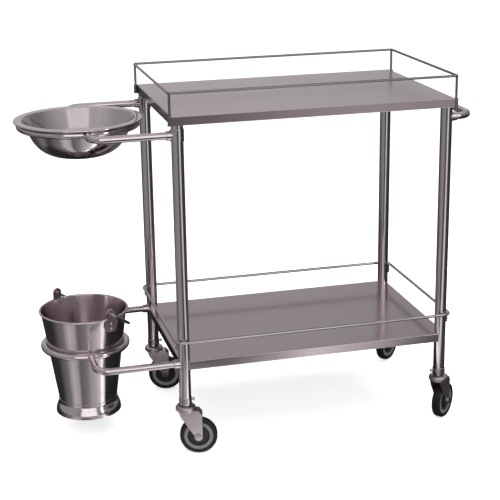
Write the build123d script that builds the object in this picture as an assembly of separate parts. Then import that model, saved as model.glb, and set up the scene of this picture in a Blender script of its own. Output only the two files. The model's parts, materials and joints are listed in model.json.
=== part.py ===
from build123d import *
import os
from math import asin, cos, hypot, sin, sqrt

# Dressing trolley: two shelves on a tube frame with four casters, a bowl in an upper ring
# holder and a bucket in a lower one. Millimetres, +Z up. Everything is drawn about the
# middle of the frame at floor level and moved to the middle of its overall box at the end.

# ---- frame and shelves ----
leg_diameter = 31.75
leg_wall = 1.5
leg_bottom = 141.0
shelf_length = 762.0
shelf_width = 490.0
shelf_top = 927.0
sheet = 1.2
flange_depth = 24.0
flange_lip = 10.0
bend_radius = 2.0
lower_length = 752.0
lower_width = 482.0
lower_top = 267.0
stiffener_width = 70.0
stiffener_depth = 14.0

leg_radius = leg_diameter / 2
leg_x = shelf_length / 2 - sheet - leg_radius
leg_y = shelf_width / 2 - sheet - leg_radius

# ---- guard rails ----
rod_radius = 3.25
rail_height = 58.5
socket_radius = 5.5
rail_wall_gap = 0.3
rail_corner = 7.0
rail_end_inset = 1.5
lower_rod_radius = 4.0
lower_rail_height = 56.0
lower_rail_corner = 22.0
tab_thickness = 3.0
tab_width = 14.0
tab_drop = 26.0
tab_sink = 0.5
bolt_drop = 17.0
bolt_radius = 3.0
bolt_head_radius = 5.5
bolt_head_height = 3.6

# ---- handle, holders and their tube ----
tube_diameter = 19.05
tube_wall = 1.2
arm_height = 876.0
bucket_arm_height = 258.0
handle_reach = 72.0
handle_corner = 40.0
collar_radius = 12.2
collar_length = 13.0
band_wall = 1.8
band_height = 32.0
bowl_x = -582.0
bowl_ring_radius = 154.5
bucket_x = -595.5
bucket_ring_radius = 112.8
arm_bend_radius = 38.0
weld_gap_angle = 0.15

tube_radius = tube_diameter / 2

# ---- bowl ----
seat_gap = 0.3
bowl_rim_radius = 170.4
bowl_mouth_radius = 150.0
bowl_knee_radius = 130.5
bowl_knee_depth = 40.0
bowl_foot_radius = 48.0
bowl_depth = 99.0
bowl_bead = 2.6
bowl_curve_reach = 0.36

# ---- bucket ----
bucket_rim_height = 361.0
bucket_base_height = 97.0
bucket_base_radius = 79.6
bucket_bead = 3.0
foot_bottom = 64.0
foot_radius = 90.5
foot_band = 7.0
ear_angle = -62.0
ear_width = 26.0
ear_thickness = 4.0
ear_rise = 14.0
ear_drop = 50.0
pad_height = 26.0
rivet_radius = 2.5
rivet_head_radius = 4.6
rivet_head_height = 2.0
rivet_spacing = 14.0
bail_wire = 3.25
bail_radius = 133.0
bail_bend = 6.0
bail_hole_gap = 0.05
bail_droop = 34.0
bail_head_radius = 5.0
bail_head_length = 3.5

# ---- casters ----
wheel_radius = 50.8
tyre_width = 24.0
tyre_depth = 11.0
hub_radius = 13.0
hub_width = 26.0
web_thickness = 7.0
rim_ring = 9.0
trail = 33.0
cheek_gap = 28.0
cheek = 3.0
crown_top = 126.0
cap_radius = 27.0
cap_height = 12.5
ball_radius = 2.5
ball_ring_radius = 18.0
ball_count = 16
stem_radius = 5.5
stem_top = 195.0
rivet_flange_radius = 9.5
axle_radius = 4.0
axle_head_radius = 7.5
axle_head_height = 5.0
bush_radius = 6.0
run_gap = 0.05
ferrule_height = 15.0
ferrule_bottom = 146.0
ferrule_wall = 1.4
caster_trails = {"front_left": -14.0, "front_right": 43.0, "back_left": -14.0, "back_right": 40.0}

corners = {"front_left": (-1, -1), "front_right": (1, -1), "back_left": (-1, 1), "back_right": (1, 1)}
nodes = {}


def upright(radius, low, high, x=0.0, y=0.0):
    """A plain vertical cylinder between two heights."""
    return Pos(x, y, (low + high) / 2) * Cylinder(radius, high - low)


def rod_along_x(radius, x_start, x_end, y=0.0, z=0.0):
    """A plain cylinder along X, given its two ends in either order."""
    return Pos((x_start + x_end) / 2, y, z) * Rot(0, 90, 0) * Cylinder(radius, abs(x_end - x_start))


def group(shapes):
    return Compound([solid for shape in shapes for solid in shape.solids()])


def dome(radius, height, x, z=0.0):
    """A low round head standing on the plane at X."""
    ball = (radius ** 2 + height ** 2) / (2 * height)
    half_angle = asin(radius / ball) / 2
    middle = (x + height - ball * (1 - cos(half_angle)), ball * sin(half_angle))
    section = make_face([
        Line((x, 0), (x, radius)),
        ThreePointArc((x, radius), middle, (x + height, 0)),
        Line((x + height, 0), (x, 0)),
    ])
    return Pos(0, 0, z) * revolve(section, Axis.X, 360)


def pipe(path, outer, inner=0.0):
    """A round tube or rod along a path."""
    start = Plane(origin=path @ 0, z_dir=path % 0)
    body = sweep(start * Circle(outer), path=path)
    if inner > 0:
        body -= sweep(start * Circle(inner), path=path)
    return body


# ---------------------------------------------------------------- frame
def leg(x, y):
    tube = upright(leg_radius, leg_bottom, shelf_top - sheet, x, y)
    tube -= upright(leg_radius - leg_wall, leg_bottom, shelf_top - sheet, x, y)
    return tube - rod_along_x(bolt_radius, x, 2 * x, y, lower_rail_z - bolt_drop)


def tray(length, width, top):
    """A sheet with its four edges turned down."""
    middle = top - flange_depth / 2
    body = Pos(0, 0, middle) * Box(length, width, flange_depth)
    outer_edges = body.edges().filter_by(Axis.Z) + body.edges().group_by(Axis.Z)[-1]
    body = fillet(outer_edges, bend_radius)
    hollow = Pos(0, 0, middle - sheet) * Box(length - 2 * sheet, width - 2 * sheet, flange_depth)
    return body - hollow


def lips(length, width, top, leg_room):
    """The flanges' inward return at their lower edge, clear of the legs."""
    z = top - flange_depth + sheet / 2
    x = length / 2 - sheet - flange_lip / 2
    y = width / 2 - sheet - flange_lip / 2
    long_lip = Box(2 * (leg_x - leg_room), flange_lip, sheet)
    short_lip = Box(flange_lip, 2 * (leg_y - leg_room), sheet)
    long_lips = [Pos(0, s * y, z) * long_lip for s in (-1, 1)]
    short_lips = [Pos(s * x, 0, z) * short_lip for s in (-1, 1)]
    return long_lips + short_lips


def upper_shelf():
    body = tray(shelf_length, shelf_width, shelf_top)
    for lip in lips(shelf_length, shelf_width, shelf_top, leg_diameter):
        body += lip
    return body


def lower_shelf():
    body = tray(lower_length, lower_width, lower_top)
    for lip in lips(lower_length, lower_width, lower_top, leg_diameter):
        body += lip
    corner = Box(leg_diameter, leg_diameter, 3 * flange_depth)
    for sx, sy in corners.values():
        body -= Pos(sx * (leg_x + leg_radius), sy * (leg_y + leg_radius), lower_top) * corner
        body -= upright(leg_radius, lower_top - 2 * flange_depth, lower_top + 1, sx * leg_x, sy * leg_y)
    return body


def stiffener(top):
    """A shallow hat channel under a shelf, along its length."""
    length = 2 * (leg_x - leg_diameter)
    z = top - sheet - stiffener_depth / 2
    body = Pos(0, 0, z) * Box(length, stiffener_width, stiffener_depth)
    body -= Pos(0, 0, z + sheet) * Box(length, stiffener_width - 2 * sheet, stiffener_depth)
    foot = Box(length, stiffener_depth, sheet)
    side = (stiffener_width + stiffener_depth) / 2
    for s in (-1, 1):
        body += Pos(0, s * side, top - 1.5 * sheet) * foot
    return body


# ---------------------------------------------------------------- guard rails
corner_inset = rail_corner * (1 - 1 / sqrt(2))
rail_x = shelf_length / 2 + rod_radius + rail_wall_gap + corner_inset
rail_y = shelf_width / 2 - rail_end_inset
rail_z = shelf_top + rail_height
lower_rail_x = leg_x + leg_radius + tab_thickness + lower_rod_radius
lower_rail_y = leg_y + leg_radius + 1.0 + lower_rod_radius
lower_rail_z = lower_top + lower_rail_height


def loop(x, y, z, corner, radius):
    """A closed rod around a rectangle with rounded corners."""
    points = [(0, -y, z), (x, -y, z), (x, y, z), (-x, y, z), (-x, -y, z), (-0.4, -y, z)]
    return pipe(FilletPolyline(*points, radius=corner), radius)


def upper_guard_rail():
    body = loop(rail_x, rail_y, rail_z, rail_corner, rod_radius)
    post_bottom = shelf_top - flange_depth + 2.0
    post_x = rail_x - corner_inset
    post_y = rail_y - corner_inset
    for sx, sy in corners.values():
        body += upright(rod_radius, post_bottom, rail_z, sx * post_x, sy * post_y)
    return body


def post_socket(sx, sy):
    """A thick ferrule on the side flange that takes the lower end of a rail post."""
    x = sx * (rail_x - corner_inset)
    y = sy * (rail_y - corner_inset)
    low = shelf_top - flange_depth
    high = shelf_top - 1.0
    body = upright(socket_radius, low, high, x, y)
    body += upright(socket_radius + 0.9, low, low + 2.0, x, y)
    body -= upright(rod_radius, low + 2.0, high + 1, x, y)
    return body - Pos(0, 0, shelf_top) * Box(shelf_length, shelf_width, 3 * flange_depth)


def lower_guard_rail():
    return loop(lower_rail_x, lower_rail_y, lower_rail_z, lower_rail_corner, lower_rod_radius)


def rail_tab(sx, sy):
    """A small plate between a leg's outer side and the lower rail."""
    high = lower_rail_z + lower_rod_radius
    low = high - tab_drop - lower_rod_radius
    x = leg_x + leg_radius + tab_thickness / 2
    plate = Box(tab_thickness + 2 * tab_sink, tab_width, high - low)
    plate = Pos(sx * (x - tab_sink), sy * leg_y, (low + high) / 2) * plate
    plate = fillet(plate.edges().filter_by(Axis.X), 3.0)
    plate -= upright(leg_radius, low - 1, high + 1, sx * leg_x, sy * leg_y)
    bolt_z = lower_rail_z - bolt_drop
    plate -= rod_along_x(bolt_radius, sx * leg_x, sx * (leg_x + 2 * leg_radius), sy * leg_y, bolt_z)
    return plate - lower_guard_rail()


def tab_bolt(sx, sy):
    """A dome-headed bolt through the tab and the leg's wall."""
    face = leg_x + leg_radius + tab_thickness
    start = face - tab_thickness - 6.0
    shank = Pos((start + face) / 2, 0, 0) * Rot(0, 90, 0) * Cylinder(bolt_radius, face - start)
    bolt = shank + dome(bolt_head_radius, bolt_head_height, face)
    turn = 0 if sx > 0 else 180
    return Pos(0, sy * leg_y, lower_rail_z - bolt_drop) * Rot(0, 0, turn) * bolt


# ---------------------------------------------------------------- handle and holders
def leg_cores(sx, ys=(-1, 1)):
    """Solid cylinders where the legs stand, used to shape the ends of tubes that meet them."""
    return [upright(leg_radius, leg_bottom, shelf_top, sx * leg_x, s * leg_y) for s in ys]


def push_handle():
    far = leg_x + handle_reach
    outline = [(leg_x, -leg_y), (far, -leg_y), (far, leg_y), (leg_x, leg_y)]
    points = [(x, y, arm_height) for x, y in outline]
    body = pipe(FilletPolyline(*points, radius=handle_corner), tube_radius, tube_radius - tube_wall)
    for core in leg_cores(1):
        body -= core
    return body


def holder_ring(x, z, radius):
    """A ring bent from tube, its butt joint facing the frame."""
    section = Pos(radius, 0, 0) * Rot(90, 0, 0) * (Circle(tube_radius) - Circle(tube_radius - tube_wall))
    ring = revolve(section, Axis.Z, 360 - weld_gap_angle)
    return Pos(x, 0, z) * ring


def holder_arm(ring_x, z, ring_radius, side):
    """Straight out from a leg, then a quarter bend inward to meet the ring square on."""
    points = [(-leg_x, side * leg_y, z), (ring_x, side * leg_y, z), (ring_x, side * ring_radius, z)]
    arm = pipe(FilletPolyline(*points, radius=arm_bend_radius), tube_radius, tube_radius - tube_wall)
    arm -= upright(leg_radius, z - 30, z + 30, -leg_x, side * leg_y)
    arm -= Pos(ring_x, 0, z) * Torus(ring_radius, tube_radius)
    return arm.solids().sort_by(SortBy.VOLUME)[-1]


def collar(sx, sy, z):
    """A short socket where a tube enters a leg."""
    start = leg_x
    end = leg_x + leg_radius + collar_length
    ring = rod_along_x(collar_radius, sx * start, sx * end, sy * leg_y, z)
    mouth = ring.edges().filter_by(GeomType.CIRCLE).sort_by(Axis.X)[-1 if sx > 0 else 0]
    ring = chamfer(mouth, 1.2)
    ring -= rod_along_x(tube_radius, sx * (start - 1), sx * (end + 1), sy * leg_y, z)
    if z < lower_top:
        ring -= Pos(0, 0, z) * Box(lower_length, lower_width, 60)
    return ring - upright(leg_radius, z - 40, z + 40, sx * leg_x, sy * leg_y)


def leg_band(sx, sy, z):
    """A sleeve round a leg that carries the socket of an arm."""
    x = sx * leg_x
    y = sy * leg_y
    band = upright(leg_radius + band_wall, z - band_height / 2, z + band_height / 2, x, y)
    band = chamfer(band.edges().filter_by(GeomType.CIRCLE), 0.8)
    band -= upright(leg_radius, z - band_height, z + band_height, x, y)
    return band - rod_along_x(collar_radius, x, sx * (leg_x + 2 * leg_radius), y, z)


# ---------------------------------------------------------------- bowl
bowl_top = arm_height + tube_radius + seat_gap + 2 * bowl_bead


def bowl_curve(knee, wall_direction, foot):
    """The well's rounded part, in line with the wall at the knee and level at the foot."""
    reach = bowl_curve_reach * (foot - knee).length
    return Bezier(knee, knee + wall_direction * reach, foot + Vector(reach, 0), foot)


def bowl():
    """A round basin with a flat flange and a rolled edge, its wall one sheet thick."""
    down = bowl_top
    knee = (bowl_knee_radius, down - bowl_knee_depth)
    foot = (bowl_foot_radius, down - bowl_depth)
    wall_dir = Vector(bowl_knee_radius - bowl_mouth_radius, -bowl_knee_depth).normalized()
    off = Vector(wall_dir.Y, -wall_dir.X) * sheet
    edge_x = bowl_rim_radius - bowl_bead

    outer_knee = Vector(*knee)
    inner_knee = outer_knee + off
    outer_foot = Vector(*foot)
    inner_foot = outer_foot + Vector(0, sheet)
    outer_mouth = Vector(bowl_mouth_radius + 0.6, down - sheet)
    inner_mouth = Vector(bowl_mouth_radius - 0.6, down)
    with_axis = [
        Line((edge_x, down - sheet), outer_mouth),
        Line(outer_mouth, outer_knee),
        bowl_curve(outer_knee, wall_dir, outer_foot),
        Line(outer_foot, (0, foot[1])),
        Line((0, foot[1]), (0, inner_foot.Y)),
        Line((0, inner_foot.Y), inner_foot),
        bowl_curve(inner_knee, wall_dir, inner_foot),
        Line(inner_knee, inner_mouth),
        Line(inner_mouth, (edge_x, down)),
        Line((edge_x, down), (edge_x, down - sheet)),
    ]
    section = make_face([Plane.XZ * curve for curve in with_axis])
    body = revolve(section, Axis.Z, 360)
    bead = Pos(0, 0, down - bowl_bead) * Torus(edge_x, bowl_bead)
    body = body + bead
    return Pos(bowl_x, 0, 0) * body


# ---------------------------------------------------------------- bucket
bucket_slope = 0.0
for _ in range(8):  # settles where the leaning wall stands just clear of the ring's tube
    contact_radius = bucket_ring_radius - (tube_radius + seat_gap) * hypot(1, bucket_slope)
    bucket_slope = (contact_radius - bucket_base_radius) / (bucket_arm_height - bucket_base_height)


def wall_radius(z):
    """The bucket's outer radius at a height."""
    return bucket_base_radius + bucket_slope * (z - bucket_base_height)


def bucket_solid(grow=0.0):
    """The bucket's outer shape as a solid, for cutting things to its wall."""
    height = bucket_rim_height - bucket_base_height
    low = wall_radius(bucket_base_height) + grow
    high = wall_radius(bucket_rim_height) + grow
    return Pos(0, 0, bucket_base_height + height / 2) * Cone(low, high, height)


def bucket_shell():
    body = bucket_solid()
    hollow = Pos(0, 0, sheet) * bucket_solid(-sheet)
    body -= hollow
    body -= Pos(0, 0, bucket_rim_height + 5) * Box(400, 400, 10)
    bead_radius = wall_radius(bucket_rim_height) + bucket_bead - sheet
    body += Pos(0, 0, bucket_rim_height - bucket_bead) * Torus(bead_radius, bucket_bead)
    for z in rivet_heights():
        reach = 2 * bucket_ring_radius
        across_bucket = rod_along_x(rivet_radius, -reach, reach, 0, z)
        body -= Rot(0, 0, ear_angle) * across_bucket
    return Pos(bucket_x, 0, 0) * body


def bucket_foot():
    """A flared skirt with a band that grips the bottom of the wall."""
    top = bucket_base_height + foot_band
    band_top = (wall_radius(top), top)
    band_low = (wall_radius(bucket_base_height), bucket_base_height)
    skirt = (foot_radius - sheet, foot_bottom)
    inner = [
        Line(band_top, band_low),
        Bezier(band_low, (band_low[0], band_low[1] - 9), (skirt[0] - 1, skirt[1] + 20), skirt),
    ]
    outer = [
        Bezier((skirt[0] + sheet, skirt[1]), (skirt[0] + sheet - 1, skirt[1] + 21),
               (band_low[0] + sheet, band_low[1] - 8), (band_low[0] + sheet, band_low[1])),
        Line((band_low[0] + sheet, band_low[1]), (band_top[0] + sheet, band_top[1])),
    ]
    closing = [
        Line(skirt, (skirt[0] + sheet, skirt[1])),
        Line((band_top[0] + sheet, band_top[1]), band_top),
    ]
    section = make_face([Plane.XZ * curve for curve in inner + outer + closing])
    return Pos(bucket_x, 0, 0) * revolve(section, Axis.Z, 360)


ear_face = wall_radius(bucket_rim_height) + 2 * bucket_bead - sheet + 0.3
ear_outer = ear_face + ear_thickness
pivot_z = bucket_rim_height + ear_rise


def ear_frame(side):
    """Local X points out from the bucket's axis through one ear, Z stays up."""
    return Pos(bucket_x, 0, 0) * Rot(0, 0, ear_angle + (0 if side > 0 else 180))


def bucket_ear(side):
    low = pivot_z - ear_drop
    lug = Box(ear_thickness, ear_width, pivot_z - low)
    lug = Pos((ear_face + ear_outer) / 2, 0, (low + pivot_z) / 2) * lug
    lug = fillet(lug.edges().filter_by(Axis.X).group_by(Axis.Z)[0], 5.0)
    lug += rod_along_x(ear_width / 2, ear_face, ear_outer, 0, pivot_z)
    pad_low = low + 2.0
    inner = wall_radius(pad_low) - 6.0
    pad = Box(ear_face - inner, ear_width - 4, pad_height)
    pad = Pos((inner + ear_face) / 2, 0, pad_low + pad_height / 2) * pad
    pad -= bucket_solid()
    lug += pad.solids().sort_by(SortBy.VOLUME)[-1]
    lug -= rod_along_x(bail_wire + bail_hole_gap, inner, ear_outer + 5, 0, pivot_z)
    for z in rivet_heights():
        lug -= rod_along_x(rivet_radius, inner - 5, ear_outer + 5, 0, z)
    return ear_frame(side) * lug


def rivet_heights():
    middle = pivot_z - ear_drop + 2.0 + pad_height / 2
    return (middle - rivet_spacing / 2, middle + rivet_spacing / 2)


def beyond_wall():
    """Everything outside the bucket's wall, for trimming rivet tails to its inner face."""
    around = Cylinder(2 * bail_radius, 4 * ear_drop) - Cylinder(bucket_base_radius, 5 * ear_drop)
    return Pos(0, 0, pivot_z - ear_drop) * around


def ear_rivet(side, z):
    """A rivet from inside the wall to a dome outside the ear."""
    start = wall_radius(z) - sheet - rivet_head_height
    shank = rod_along_x(rivet_radius, start, ear_outer, 0, z)
    tail = rod_along_x(rivet_head_radius, start, start + 2 * rivet_head_height, 0, z)
    shank += tail - (bucket_solid() - Pos(0, 0, -5) * bucket_solid(-sheet)) - beyond_wall()
    return ear_frame(side) * (shank + dome(rivet_head_radius, rivet_head_height, ear_outer, z))


def bucket_bail():
    """A half-round wire handle whose ends turn in through the ears, resting low on one side."""
    inner = ear_face - bail_head_length
    right_in = Vector(inner, 0)
    right_out = Vector(bail_radius - bail_bend, 0)
    right_up = Vector(bail_radius, bail_bend)
    crown = Vector(0, bail_bend + bail_radius)
    left_up = Vector(-bail_radius, bail_bend)
    left_out = Vector(-bail_radius + bail_bend, 0)
    left_in = Vector(-inner, 0)
    path = Wire([
        Edge.make_line(right_in, right_out),
        Edge.make_tangent_arc(right_out, Vector(1, 0), right_up),
        Edge.make_three_point_arc(right_up, crown, left_up),
        Edge.make_tangent_arc(left_up, Vector(0, -1), left_out),
        Edge.make_line(left_out, left_in),
    ])
    body = pipe(path, bail_wire)
    for s in (-1, 1):
        head = rod_along_x(bail_head_radius, s * (inner - bail_head_length), s * inner)
        body += fillet(head.edges().filter_by(GeomType.CIRCLE), 1.2)
    tilted = Rot(-bail_droop, 0, 0) * body
    return Pos(bucket_x, 0, pivot_z) * Rot(0, 0, ear_angle) * tilted


# ---------------------------------------------------------------- casters
def caster_frame(name):
    """Local X points along the trail from the swivel axis, floor at Z = 0."""
    sx, sy = corners[name]
    return Pos(sx * leg_x, sy * leg_y, 0) * Rot(0, 0, caster_trails[name])


def caster_stem():
    """The fixed half: the upper raceway cap and the stem, riveted over below the crown."""
    low = crown_top + run_gap * 6
    cap = upright(cap_radius, low, low + cap_height)
    cap = fillet(cap.edges().filter_by(GeomType.CIRCLE).group_by(Axis.Z)[-1], 7.0)
    hollow = upright(cap_radius - 2.5, low, low + 5.5)
    hollow -= upright(stem_radius + 5.0, low, low + 5.5)
    body = cap - hollow
    body += upright(stem_radius + 6.0, low + cap_height, leg_bottom)
    body += upright(stem_radius, crown_top - 8.0, stem_top)
    flange_top = crown_top - cheek - run_gap * 6
    return body + upright(rivet_flange_radius, flange_top - 2.5, flange_top)


def caster_balls():
    z = crown_top + ball_radius + 0.02
    ball = Pos(ball_ring_radius, 0, z) * Sphere(ball_radius)
    return group(Rot(0, 0, 360 * k / ball_count) * ball for k in range(ball_count))


def cheek_outline():
    """One side of the fork: broad at the crown, narrowing to a round end at the axle."""
    back = trail + 9.5
    return [
        Line((-19, crown_top), (back - 8, crown_top)),
        Line((back - 8, crown_top), (back + 1.5, crown_top - 12)),
        Line((back + 1.5, crown_top - 12), (trail + 11.0, wheel_radius)),
        ThreePointArc((trail + 11.0, wheel_radius), (trail, wheel_radius - 11.0),
                      (trail - 10.6, wheel_radius + 2.5)),
        Line((trail - 10.6, wheel_radius + 2.5), (-14, crown_top - 16)),
        Line((-14, crown_top - 16), (-19, crown_top)),
    ]


def caster_fork():
    face = make_face([Plane.XZ * curve for curve in cheek_outline()])
    half = cheek_gap / 2
    body = Pos(0, -half, 0) * extrude(face, amount=cheek, dir=(0, -1, 0))
    body += Pos(0, half, 0) * extrude(face, amount=cheek, dir=(0, 1, 0))
    back = trail + 1.5
    body += Pos((back - 19) / 2, 0, crown_top - cheek / 2) * Box(back + 19, cheek_gap + 2 * cheek, cheek)
    body += upright(cap_radius - 3.5, crown_top - cheek, crown_top)
    top_edges = body.edges().filter_by(Axis.X).group_by(Axis.Z)[-1]
    body = fillet(top_edges.filter_by(lambda edge: abs(edge.center().Y) > half + cheek / 2), 2.0)
    body -= upright(stem_radius + run_gap, crown_top - 2 * cheek, crown_top + 1)
    body -= Pos(trail, 0, wheel_radius) * Rot(90, 0, 0) * Cylinder(axle_radius + 0.02, 60)
    return body


def caster_axle():
    """The axle bolt, its head on one cheek and its nut on the other."""
    half = cheek_gap / 2 + cheek
    bolt = Pos(trail, 0, wheel_radius) * Rot(90, 0, 0) * Cylinder(axle_radius, 2 * half + 8)
    bolt = Pos(0, 4, 0) * bolt
    head = Pos(trail, -half - axle_head_height / 2, wheel_radius) * Rot(90, 0, 0)
    bolt = bolt - Pos(trail, -half - 10, wheel_radius) * Box(40, 20, 40)
    bolt += head * extrude(RegularPolygon(axle_head_radius, 6), amount=axle_head_height / 2, both=True)
    nut_face = RegularPolygon(axle_head_radius, 6) - Circle(axle_radius)
    nut = extrude(nut_face, amount=axle_head_height / 2, both=True)
    nut = Pos(trail, half + axle_head_height / 2, wheel_radius) * Rot(90, 0, 0) * nut
    return group([bolt, nut])


def across(radius, width):
    """A cylinder on the axle line."""
    return Pos(trail, 0, wheel_radius) * Rot(90, 0, 0) * Cylinder(radius, width)


def caster_bush():
    return across(bush_radius, cheek_gap) - across(axle_radius, cheek_gap)


def caster_wheel():
    """Hub, thin web and a raised rim that carries the tyre."""
    rim_outer = wheel_radius - tyre_depth
    body = across(hub_radius, hub_width) + across(rim_outer - 0.5, web_thickness)
    body += across(rim_outer, tyre_width - 4.0) - across(rim_outer - rim_ring, tyre_width)
    return body - across(bush_radius + run_gap, hub_width + 1)


def caster_tyre():
    tyre = across(wheel_radius, tyre_width)
    tyre = fillet(tyre.edges().filter_by(GeomType.CIRCLE), 6.0)
    return tyre - across(wheel_radius - tyre_depth, tyre_width + 1)


def ferrule(sx, sy):
    """A clamp band round the bottom of a leg."""
    high = ferrule_bottom + ferrule_height
    band = upright(leg_radius + ferrule_wall, ferrule_bottom, high, sx * leg_x, sy * leg_y)
    band = chamfer(band.edges().filter_by(GeomType.CIRCLE), 0.6)
    return band - upright(leg_radius, ferrule_bottom - 1, high + 1, sx * leg_x, sy * leg_y)


def ferrule_screw(sx, sy):
    """A short clamp screw on the side of the band that faces along the frame."""
    start = leg_radius + ferrule_wall
    screw = rod_along_x(2.6, start, start + 4.0) + rod_along_x(4.2, start + 4.0, start + 7.5)
    turn = 180 if sx > 0 else 0
    return Pos(sx * leg_x, sy * leg_y, ferrule_bottom + ferrule_height / 2) * Rot(0, 0, turn) * screw


def stem_sleeve(sx, sy):
    """The sleeve that holds a caster stem in its leg."""
    body = upright(leg_radius - leg_wall, leg_bottom, stem_top - 5, sx * leg_x, sy * leg_y)
    return body - upright(stem_radius, leg_bottom - 1, stem_top, sx * leg_x, sy * leg_y)


# ---------------------------------------------------------------- assembly
for name, (sx, sy) in corners.items():
    nodes["leg_" + name] = leg(sx * leg_x, sy * leg_y)
nodes["upper_shelf"] = upper_shelf()
nodes["upper_shelf_stiffener"] = stiffener(shelf_top)
nodes["lower_shelf"] = lower_shelf()
nodes["lower_shelf_stiffener"] = stiffener(lower_top)
nodes["upper_guard_rail"] = upper_guard_rail()
nodes["rail_post_sockets"] = group(post_socket(*c) for c in corners.values())
nodes["lower_guard_rail"] = lower_guard_rail()
nodes["lower_rail_tabs"] = group(rail_tab(*c) for c in corners.values())
nodes["lower_rail_bolts"] = group(tab_bolt(*c) for c in corners.values())
nodes["push_handle"] = push_handle()
nodes["handle_collars"] = group(collar(1, s, arm_height) for s in (-1, 1))
nodes["bowl_holder_ring"] = holder_ring(bowl_x, arm_height, bowl_ring_radius)
nodes["bowl_holder_front_arm"] = holder_arm(bowl_x, arm_height, bowl_ring_radius, -1)
nodes["bowl_holder_back_arm"] = holder_arm(bowl_x, arm_height, bowl_ring_radius, 1)
nodes["bucket_holder_ring"] = holder_ring(bucket_x, bucket_arm_height, bucket_ring_radius)
nodes["bucket_holder_front_arm"] = holder_arm(bucket_x, bucket_arm_height, bucket_ring_radius, -1)
nodes["bucket_holder_back_arm"] = holder_arm(bucket_x, bucket_arm_height, bucket_ring_radius, 1)
nodes["arm_collars"] = group(collar(-1, s, z) for s in (-1, 1) for z in (arm_height, bucket_arm_height))
nodes["arm_leg_bands"] = group(leg_band(-1, s, arm_height) for s in (-1, 1))
nodes["leg_ferrules"] = group(ferrule(*c) for c in corners.values())
nodes["ferrule_screws"] = group(ferrule_screw(*c) for c in corners.values())
nodes["stem_sleeves"] = group(stem_sleeve(*c) for c in corners.values())
nodes["bowl"] = bowl()
nodes["bucket_shell"] = bucket_shell()
nodes["bucket_foot"] = bucket_foot()
nodes["bucket_ears"] = group(bucket_ear(s) for s in (1, -1))
nodes["ear_rivets"] = group(ear_rivet(s, z) for s in (1, -1) for z in rivet_heights())
nodes["bucket_bail"] = bucket_bail()
caster_makers = {
    "stem": caster_stem, "balls": caster_balls, "fork": caster_fork, "axle": caster_axle,
    "bush": caster_bush, "wheel": caster_wheel, "tyre": caster_tyre,
}
for part, make in caster_makers.items():
    piece = make()
    for name in corners:
        nodes["caster_" + part + "_" + name] = caster_frame(name) * piece

whole = group(nodes.values()).bounding_box()
middle = Vector((whole.min.X + whole.max.X) / 2, (whole.min.Y + whole.max.Y) / 2, whole.min.Z)
os.makedirs("parts", exist_ok=True)
for name, shape in nodes.items():
    export_step(Pos(-middle.X, -middle.Y, -middle.Z) * shape, "parts/" + name + ".step")
print("origin in the frame's own centre:", middle, "overall size", whole.size)
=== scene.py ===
import json
import math
import bmesh
import bpy
from mathutils import Matrix, Vector


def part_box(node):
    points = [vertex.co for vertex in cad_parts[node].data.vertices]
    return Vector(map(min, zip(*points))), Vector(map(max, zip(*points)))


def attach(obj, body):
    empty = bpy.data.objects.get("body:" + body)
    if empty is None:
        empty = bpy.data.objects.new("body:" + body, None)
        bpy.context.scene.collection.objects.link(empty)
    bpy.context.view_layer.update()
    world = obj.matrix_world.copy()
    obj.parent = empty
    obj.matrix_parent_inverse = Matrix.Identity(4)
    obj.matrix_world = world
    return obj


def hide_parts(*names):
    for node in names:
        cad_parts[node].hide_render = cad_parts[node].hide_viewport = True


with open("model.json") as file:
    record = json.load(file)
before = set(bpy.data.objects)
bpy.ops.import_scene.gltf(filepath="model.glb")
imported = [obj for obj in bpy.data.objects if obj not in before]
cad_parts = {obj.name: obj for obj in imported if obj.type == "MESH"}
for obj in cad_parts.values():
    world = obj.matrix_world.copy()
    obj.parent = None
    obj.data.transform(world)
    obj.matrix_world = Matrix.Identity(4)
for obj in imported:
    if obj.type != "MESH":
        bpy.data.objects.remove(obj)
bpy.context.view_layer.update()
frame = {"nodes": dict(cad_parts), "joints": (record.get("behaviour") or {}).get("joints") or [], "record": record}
nodes = frame["nodes"]
slotOf = {part["node"]: part["material_slot"] for part in frame["record"]["subparts"]}
jointOf = {joint["name"]: joint for joint in frame["joints"]}
cornerNames = ("front_left", "front_right", "back_left", "back_right")
print("frame loaded:", len(nodes), "nodes")

# camera, floor and light
camera = {
    "place": (-0.8474, -3.4037, 1.5711),  # metres, in the trolley's own frame
    "turn": 14.574,     # degrees to the right of straight ahead
    "tilt": 17.264,     # degrees down
    "roll": -0.86,
    "lens": 93.9,       # mm, on a 36 mm sensor
}


def makeCamera():
    turn, tilt, roll = (math.radians(camera[key]) for key in ("turn", "tilt", "roll"))
    forward = Vector((math.sin(turn) * math.cos(tilt), math.cos(turn) * math.cos(tilt), -math.sin(tilt)))
    right = Vector((math.cos(turn), -math.sin(turn), 0))
    up = right.cross(forward)
    rightRolled = right * math.cos(roll) + up * math.sin(roll)
    upRolled = up * math.cos(roll) - right * math.sin(roll)
    data = bpy.data.cameras.new("camera")
    data.lens = camera["lens"]
    data.sensor_width = 36
    data.dof.use_dof = False
    data.clip_end = 100
    seen = bpy.data.objects.new("camera", data)
    axes = Matrix((rightRolled, upRolled, -forward)).transposed()
    seen.matrix_world = Matrix.Translation(camera["place"]) @ axes.to_4x4()
    bpy.context.scene.collection.objects.link(seen)
    bpy.context.scene.camera = seen


def addNode(tree, kind, place=(0, 0), **values):
    node = tree.nodes.new(kind)
    node.location = place
    for key, value in values.items():
        if key in node.inputs:
            node.inputs[key].default_value = value
        else:
            setattr(node, key, value)
    return node


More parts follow.
